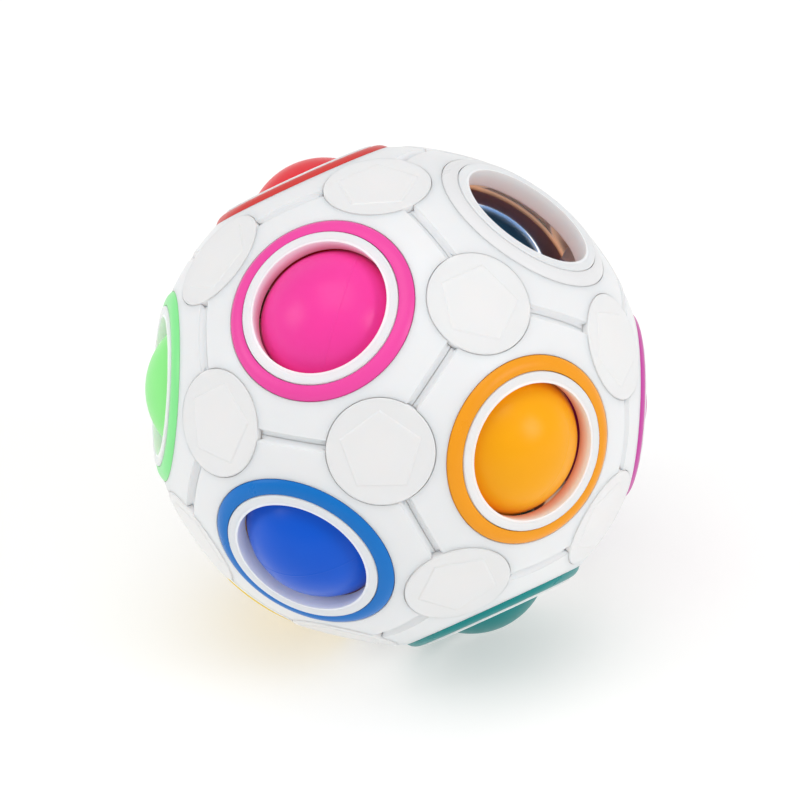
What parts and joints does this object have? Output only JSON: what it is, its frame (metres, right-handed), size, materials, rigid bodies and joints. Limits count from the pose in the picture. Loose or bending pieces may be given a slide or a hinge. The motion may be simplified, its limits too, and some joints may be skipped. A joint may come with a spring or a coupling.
{
  "type": "rainbow puzzle ball",
  "caption": "Hollow white puzzle sphere with round ringed holes, pressable coloured balls, one empty hole and snap-in corner caps.",
  "frame": {"origin": "middle of the sphere", "axes": "+Z through a corner cap, so that the opposite cap lies flat on a table; the pink hole leans towards -Y and the empty hole towards +X"},
  "size_m": [0.07, 0.0714, 0.069],
  "materials": {
    "shell_white": "satin moulded",
    "cap_white": "satin moulded",
    "ring_white": "semi-gloss",
    "core_grey": "plain moulded",
    "pink_plastic": "semi-gloss",
    "red_plastic": "semi-gloss",
    "orange_plastic": "semi-gloss",
    "sky_blue_plastic": "semi-gloss",
    "light_green_plastic": "semi-gloss",
    "blue_plastic": "semi-gloss",
    "magenta_plastic": "semi-gloss",
    "brown_plastic": "semi-gloss",
    "teal_plastic": "semi-gloss",
    "purple_plastic": "semi-gloss",
    "yellow_plastic": "semi-gloss"
  },
  "bodies": {
    "shell": {"panel_pink": "shell_white", "panel_white": "shell_white", "panel_red": "shell_white", "panel_orange": "shell_white", "panel_sky_blue": "shell_white", "panel_light_green": "shell_white", "panel_blue": "shell_white", "panel_magenta": "shell_white", "panel_brown": "shell_white", "panel_teal": "shell_white", "panel_purple": "shell_white", "panel_yellow": "shell_white", "ring_pink": "pink_plastic", "ring_white": "ring_white", "ring_red": "red_plastic", "ring_orange": "orange_plastic", "ring_sky_blue": "sky_blue_plastic", "ring_light_green": "light_green_plastic", "ring_blue": "blue_plastic", "ring_magenta": "magenta_plastic", "ring_brown": "brown_plastic", "ring_teal": "teal_plastic", "ring_purple": "purple_plastic", "ring_yellow": "yellow_plastic", "cap_01": "cap_white", "cap_02": "cap_white", "cap_03": "cap_white", "cap_04": "cap_white", "cap_05": "cap_white", "cap_06": "cap_white", "cap_07": "cap_white", "cap_08": "cap_white", "cap_09": "cap_white", "cap_10": "cap_white", "cap_11": "cap_white", "cap_12": "cap_white", "cap_13": "cap_white", "cap_14": "cap_white", "cap_15": "cap_white", "cap_16": "cap_white", "cap_17": "cap_white", "cap_18": "cap_white", "cap_19": "cap_white", "cap_20": "cap_white"},
    "pink_ball": {"ball_pink": "pink_plastic"},
    "red_ball": {"ball_red": "red_plastic"},
    "orange_ball": {"ball_orange": "orange_plastic"},
    "sky_blue_ball": {"ball_sky_blue": "sky_blue_plastic"},
    "light_green_ball": {"ball_light_green": "light_green_plastic"},
    "blue_ball": {"ball_blue": "blue_plastic"},
    "magenta_ball": {"ball_magenta": "magenta_plastic"},
    "brown_ball": {"ball_brown": "brown_plastic"},
    "teal_ball": {"ball_teal": "teal_plastic"},
    "purple_ball": {"ball_purple": "purple_plastic"},
    "yellow_ball": {"ball_yellow": "yellow_plastic"},
    "core": {"core_ball": "core_grey"}
  },
  "joints": [
    {"name": "pink_press", "type": "slide", "parent": "shell", "child": "pink_ball", "axis": [0, 0.6071, -0.7947], "range_m": [-0.00025, 0.00395]},
    {"name": "red_press", "type": "slide", "parent": "shell", "child": "red_ball", "axis": [0.5257, -0.3035, -0.7947], "range_m": [-0.0006, 0.0036]},
    {"name": "orange_press", "type": "slide", "parent": "shell", "child": "orange_ball", "axis": [-0.8507, 0.4911, -0.1876], "range_m": [-0.0004, 0.0038]},
    {"name": "sky_blue_press", "type": "slide", "parent": "shell", "child": "sky_blue_ball", "axis": [0, -0.9822, -0.1876], "range_m": [-0.0005, 0.0037]},
    {"name": "light_green_press", "type": "slide", "parent": "shell", "child": "light_green_ball", "axis": [0.8507, 0.4911, -0.1876], "range_m": [-0.00075, 0.00345]},
    {"name": "blue_press", "type": "slide", "parent": "shell", "child": "blue_ball", "axis": [0, 0.9822, 0.1876], "range_m": [0, 0.0042]},
    {"name": "magenta_press", "type": "slide", "parent": "shell", "child": "magenta_ball", "axis": [-0.8507, -0.4911, 0.1876], "range_m": [-0.001, 0.0032]},
    {"name": "brown_press", "type": "slide", "parent": "shell", "child": "brown_ball", "axis": [0.8507, -0.4911, 0.1876], "range_m": [-0.0004, 0.0038]},
    {"name": "teal_press", "type": "slide", "parent": "shell", "child": "teal_ball", "axis": [-0.5257, 0.3035, 0.7947], "range_m": [-0.0007, 0.0035]},
    {"name": "purple_press", "type": "slide", "parent": "shell", "child": "purple_ball", "axis": [0, -0.6071, 0.7947], "range_m": [-0.0003, 0.0039]},
    {"name": "yellow_press", "type": "slide", "parent": "shell", "child": "yellow_ball", "axis": [0.5257, 0.3035, 0.7947], "range_m": [-0.0005, 0.0037]},
    {"name": "core_spin", "type": "hinge", "parent": "shell", "child": "core", "pos_m": [0, 0, 0], "axis": [0, 0, 1], "continuous": true}
  ]
}
